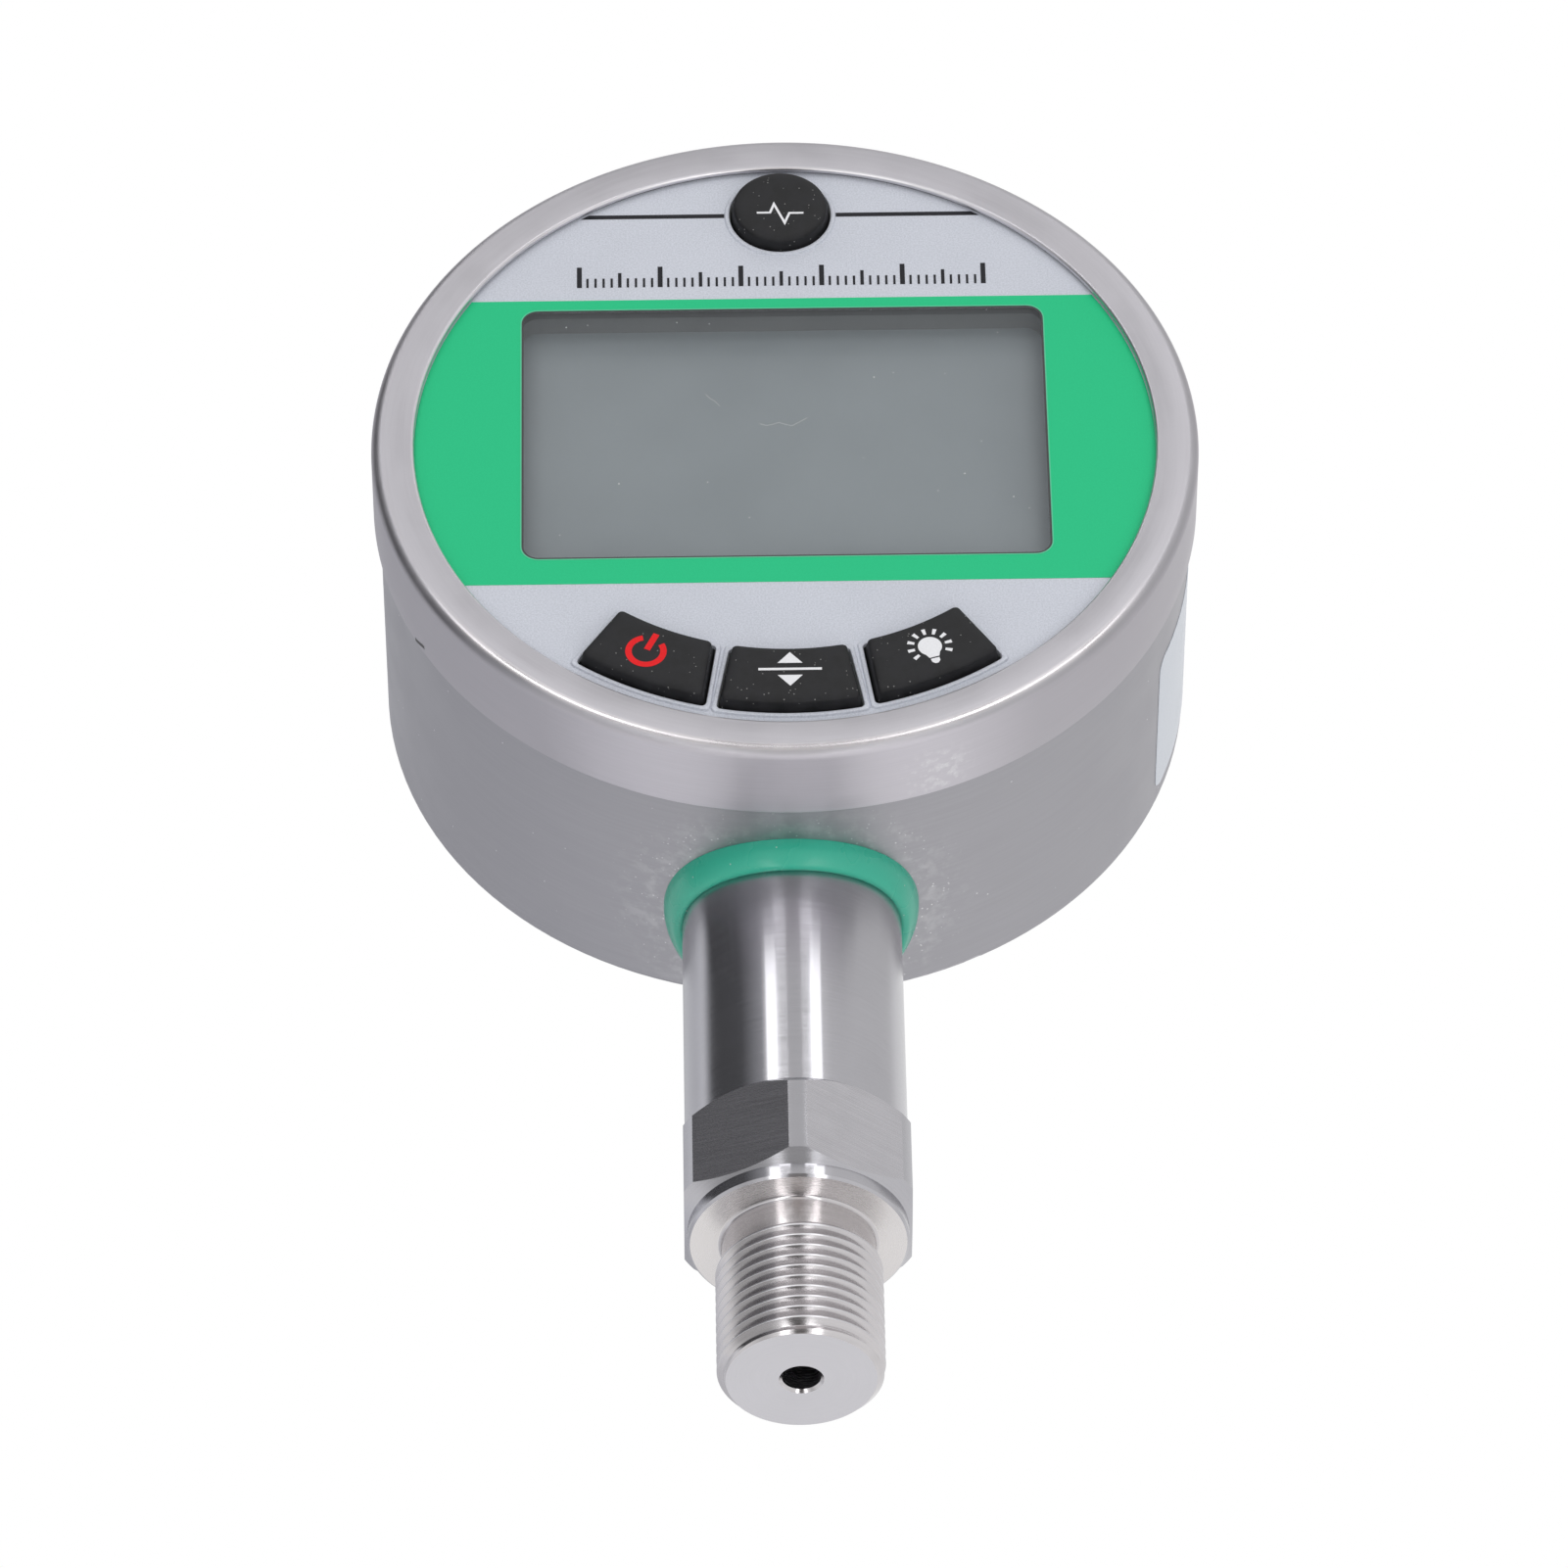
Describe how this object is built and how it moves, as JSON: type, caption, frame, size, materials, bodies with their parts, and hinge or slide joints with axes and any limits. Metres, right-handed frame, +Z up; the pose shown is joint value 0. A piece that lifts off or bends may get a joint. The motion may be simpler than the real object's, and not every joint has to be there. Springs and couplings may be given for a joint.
{
  "type": "digital pressure gauge",
  "caption": "Round digital pressure gauge: stainless case with display and keys, and a hexagonal stem with a threaded pressure connection below.",
  "frame": {"origin": "middle of the flat end of the threaded stem, on the stem axis", "axes": "+Z up along the stem towards the case, -Y the way the dial faces, +X to the dial's right"},
  "size_m": [0.101, 0.0523, 0.1696],
  "materials": {
    "bezel_steel": "satin, fine turned lines",
    "case_steel": "satin, drawn and brushed round",
    "stem_steel": "fine turned, milled on the flats",
    "bracket_steel": "plain sheet",
    "screw_steel": "plain",
    "seal_rubber": "smooth, slightly glossy",
    "black_rubber": "matt",
    "key_rubber": "matt, slightly dusty",
    "label_silver": "fine metallic grain",
    "label_green": "printed",
    "label_black": "printed",
    "clear_window": "clear, lightly scratched",
    "grey_plastic": "moulded",
    "display_glass": "display that is off",
    "contact_rubber": "striped",
    "white_plastic": "moulded",
    "board_green": "circuit board",
    "black_plastic": "moulded, fine texture",
    "plunger_plastic": "moulded",
    "cell_wrap": "plain printed sleeve",
    "contact_metal": "nickel plated",
    "lead_red": "insulated wire",
    "retainer_brass": "turned",
    "flex_film": "film with conductors",
    "blank_label": "blank foil label"
  },
  "bodies": {
    "gauge_body": {"bezel_ring": "bezel_steel", "lip_gasket": "black_rubber", "face_label": "label_silver", "band_print": "label_green", "line_print": "label_black", "window": "clear_window", "front_panel": "grey_plastic", "key_mat": "key_rubber", "lcd_glass": "display_glass", "lcd_frame": "grey_plastic", "contact_strips": "contact_rubber", "backlight": "white_plastic", "main_board": "board_green", "switch_housings": "black_plastic", "board_chips": "black_plastic", "board_sockets": "white_plastic", "board_screws": "screw_steel", "case_shell": "case_steel", "battery_tray": "black_plastic", "battery_cells": "cell_wrap", "battery_contacts": "contact_metal", "battery_leads": "lead_red", "battery_gasket": "black_rubber", "battery_cover": "black_plastic", "cover_screws": "screw_steel", "stem": "stem_steel", "seal_ring": "seal_rubber", "sensor_capsule": "stem_steel", "sensor_o_ring": "black_rubber", "sensor_retainer": "retainer_brass", "sensor_flex": "flex_film", "stem_bracket": "bracket_steel", "stem_screws": "screw_steel", "bracket_screws": "screw_steel", "side_label": "blank_label"},
    "peak_key": {"peak_button": "key_rubber", "peak_plunger": "plunger_plastic"},
    "power_key": {"power_button": "key_rubber", "power_plunger": "plunger_plastic"},
    "unit_key": {"unit_button": "key_rubber", "unit_plunger": "plunger_plastic"},
    "light_key": {"light_button": "key_rubber", "light_plunger": "plunger_plastic"}
  },
  "joints": [
    {"name": "peak_press", "type": "slide", "parent": "gauge_body", "child": "peak_key", "axis": [0, 1, 0], "range_m": [0, 0.0008], "stiffness_N_per_m": 2000},
    {"name": "power_press", "type": "slide", "parent": "gauge_body", "child": "power_key", "axis": [0, 1, 0], "range_m": [0, 0.0008], "stiffness_N_per_m": 2000},
    {"name": "unit_press", "type": "slide", "parent": "gauge_body", "child": "unit_key", "axis": [0, 1, 0], "range_m": [0, 0.0008], "stiffness_N_per_m": 2000},
    {"name": "light_press", "type": "slide", "parent": "gauge_body", "child": "light_key", "axis": [0, 1, 0], "range_m": [0, 0.0008], "stiffness_N_per_m": 2000}
  ]
}
